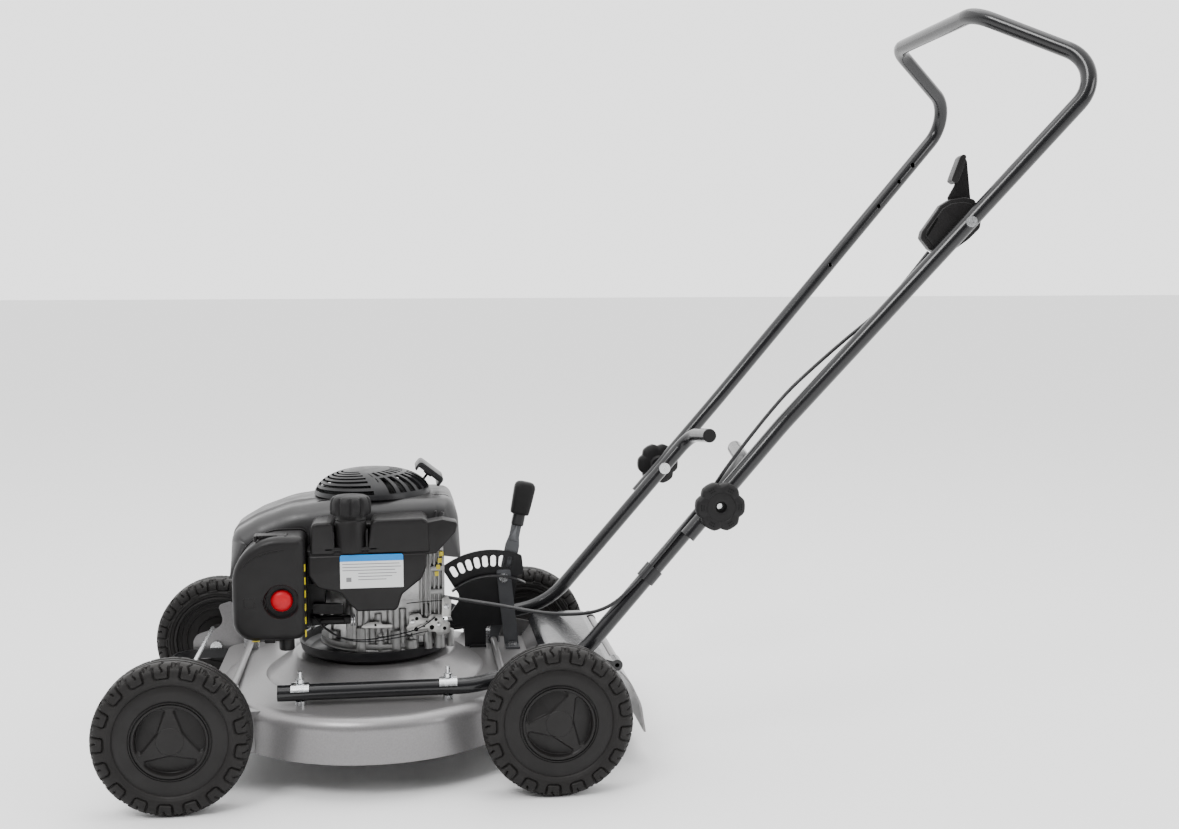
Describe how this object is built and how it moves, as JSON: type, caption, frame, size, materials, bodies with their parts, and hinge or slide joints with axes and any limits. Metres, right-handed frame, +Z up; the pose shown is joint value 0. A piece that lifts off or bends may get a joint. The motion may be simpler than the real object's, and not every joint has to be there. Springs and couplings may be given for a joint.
{
  "type": "push lawn mower",
  "caption": "Petrol push lawn mower: pressed deck, four wheels on crank arms with one height lever, upright-shaft engine with recoil start, folding tube handle with throttle.",
  "frame": {"origin": "on the ground, at the centre of the footprint", "axes": "+X to the rear, towards the handle; +Y to the mower's right; +Z up"},
  "size_m": [1.3241, 0.5598, 1.058],
  "materials": {
    "black_paint": "gloss black powder coat",
    "black_plastic": "fine textured",
    "cable_jacket": "satin",
    "cast_aluminium": "as cast",
    "cast_iron": "as cast",
    "grey_plastic": "satin moulded",
    "grey_steel": "dull grey coat",
    "hub_plastic": "satin",
    "red_rubber": "soft",
    "rope": "braided",
    "silver_paint": "satin metallic silver",
    "steel": "ground",
    "tyre_rubber": "moulded tread",
    "yellow_foam": "open foam",
    "zinc": "bright zinc plate"
  },
  "bodies": {
    "chassis": {"deck_shell": "silver_paint", "front_bumper": "black_paint", "chute_cover": "black_paint", "flap_rod": "zinc", "rod_brackets": "zinc", "height_quadrant": "black_paint", "quadrant_strap": "grey_steel", "frame_fasteners": "zinc", "lower_handle_left": "black_paint", "lower_handle_right": "black_paint", "tube_saddles": "zinc", "saddle_bolts": "zinc", "fold_bolts": "zinc", "cable_clip": "black_plastic", "cable_lower": "cable_jacket", "engine_mount_ring": "black_paint", "crankcase": "cast_aluminium", "cylinder": "cast_aluminium", "spark_plug": "steel", "muffler": "steel", "intake_base": "black_plastic", "air_filter_cover": "black_plastic", "air_filter_element": "yellow_foam", "fuel_tank": "black_plastic", "cowl": "grey_plastic", "recoil_housing": "black_plastic", "governor_plate": "zinc", "starter_rope": "rope"},
    "rear_guard": {"rear_flap": "silver_paint"},
    "front_crank": {"front_axle": "silver_paint", "front_axle_bolts": "zinc"},
    "rear_crank": {"rear_axle": "silver_paint", "rear_axle_bolts": "zinc", "height_lever": "grey_steel", "lever_grip": "black_plastic"},
    "link": {"link_rod": "grey_steel"},
    "handle": {"upper_handle": "black_paint", "throttle_housing": "black_plastic", "throttle_bolt": "zinc", "cable_upper": "cable_jacket"},
    "throttle": {"throttle_lever": "black_plastic"},
    "knob_l": {"knob_left": "black_plastic"},
    "knob_r": {"knob_right": "black_plastic"},
    "cap": {"fuel_cap": "black_plastic"},
    "primer": {"primer_bulb": "red_rubber"},
    "rotor": {"crankshaft": "steel", "flywheel": "cast_iron", "blade": "steel", "blade_bolt": "steel"},
    "piston_body": {"piston": "cast_aluminium"},
    "pulley": {"recoil_pulley": "black_plastic"},
    "pull_grip": {"starter_grip": "black_plastic"},
    "wheel_front_left": {"tyre_front_left": "tyre_rubber", "hub_front_left": "hub_plastic"},
    "wheel_front_right": {"tyre_front_right": "tyre_rubber", "hub_front_right": "hub_plastic"},
    "wheel_rear_left": {"tyre_rear_left": "tyre_rubber", "hub_rear_left": "hub_plastic"},
    "wheel_rear_right": {"tyre_rear_right": "tyre_rubber", "hub_rear_right": "hub_plastic"}
  },
  "joints": [
    {"name": "handle_fold", "type": "hinge", "parent": "chassis", "child": "handle", "pos_m": [0.1579, 0, 0.37489], "axis": [0, -1, 0], "range_deg": [0, 118], "deforming": ["cable_upper"]},
    {"name": "height_adjust", "type": "hinge", "parent": "chassis", "child": "rear_crank", "pos_m": [-0.1271, 0, 0.119], "axis": [0, -1, 0], "range_deg": [0, 40.6]},
    {"name": "front_crank_turn", "type": "hinge", "parent": "chassis", "child": "front_crank", "pos_m": [-0.5021, 0, 0.119], "axis": [0, -1, 0], "range_deg": [-40.6, 0]},
    {"name": "link_pivot", "type": "hinge", "parent": "rear_crank", "child": "link", "pos_m": [-0.1382, 0.204, 0.08899], "axis": [0, -1, 0], "range_deg": [-40.6, 0]},
    {"name": "guard_swing", "type": "hinge", "parent": "chassis", "child": "rear_guard", "pos_m": [0.0299, 0, 0.14], "axis": [0, -1, 0], "range_deg": [0, 65]},
    {"name": "throttle_turn", "type": "hinge", "parent": "handle", "child": "throttle", "pos_m": [0.4959, -0.24098, 0.75545], "axis": [0.1628, 0.9867, 0], "range_deg": [-5, 50]},
    {"name": "knob_left_turn", "type": "hinge", "parent": "chassis", "child": "knob_l", "pos_m": [0.1579, -0.22, 0.37489], "axis": [0, -1, 0], "continuous": true},
    {"name": "knob_right_turn", "type": "hinge", "parent": "chassis", "child": "knob_r", "pos_m": [0.1579, 0.22, 0.37489], "axis": [0, 1, 0], "continuous": true},
    {"name": "fuel_cap_turn", "type": "hinge", "parent": "chassis", "child": "cap", "pos_m": [-0.3361, -0.138, 0.362], "axis": [0, 0, 1], "range_deg": [0, 180]},
    {"name": "primer_press", "type": "slide", "parent": "chassis", "child": "primer", "axis": [0, 1, 0], "range_m": [0, 0.005], "stiffness_N_per_m": 600},
    {"name": "crankshaft_spin", "type": "hinge", "parent": "chassis", "child": "rotor", "pos_m": [-0.3081, 0, 0.062], "axis": [0, 0, 1], "continuous": true},
    {"name": "piston_stroke", "type": "slide", "parent": "chassis", "child": "piston_body", "axis": [1, 0, 0], "range_m": [-0.022, 0.022]},
    {"name": "starter_pull", "type": "slide", "parent": "chassis", "child": "pull_grip", "axis": [0.6157, 0, 0.788], "range_m": [0, 0.6], "stiffness_N_per_m": 15, "springref_m": -0.3, "deforming": ["starter_rope"]},
    {"name": "pulley_spin", "type": "hinge", "parent": "chassis", "child": "pulley", "pos_m": [-0.3081, 0, 0.347], "axis": [0, 0, 1], "range_deg": [0, 990]},
    {"name": "wheel_front_left_spin", "type": "hinge", "parent": "front_crank", "child": "wheel_front_left", "pos_m": [-0.5621, -0.254, 0.1], "axis": [0, 1, 0], "continuous": true},
    {"name": "wheel_front_right_spin", "type": "hinge", "parent": "front_crank", "child": "wheel_front_right", "pos_m": [-0.5621, 0.254, 0.1], "axis": [0, 1, 0], "continuous": true},
    {"name": "wheel_rear_left_spin", "type": "hinge", "parent": "rear_crank", "child": "wheel_rear_left", "pos_m": [-0.0671, -0.254, 0.1], "axis": [0, 1, 0], "continuous": true},
    {"name": "wheel_rear_right_spin", "type": "hinge", "parent": "rear_crank", "child": "wheel_rear_right", "pos_m": [-0.0671, 0.254, 0.1], "axis": [0, 1, 0], "continuous": true}
  ],
  "couplings": [
    {"joint": "front_crank_turn", "follows": "height_adjust", "ratio": -1},
    {"joint": "link_pivot", "follows": "height_adjust", "ratio": -1},
    {"joint": "pulley_spin", "follows": "starter_pull", "rad_per_m": 28.571}
  ]
}
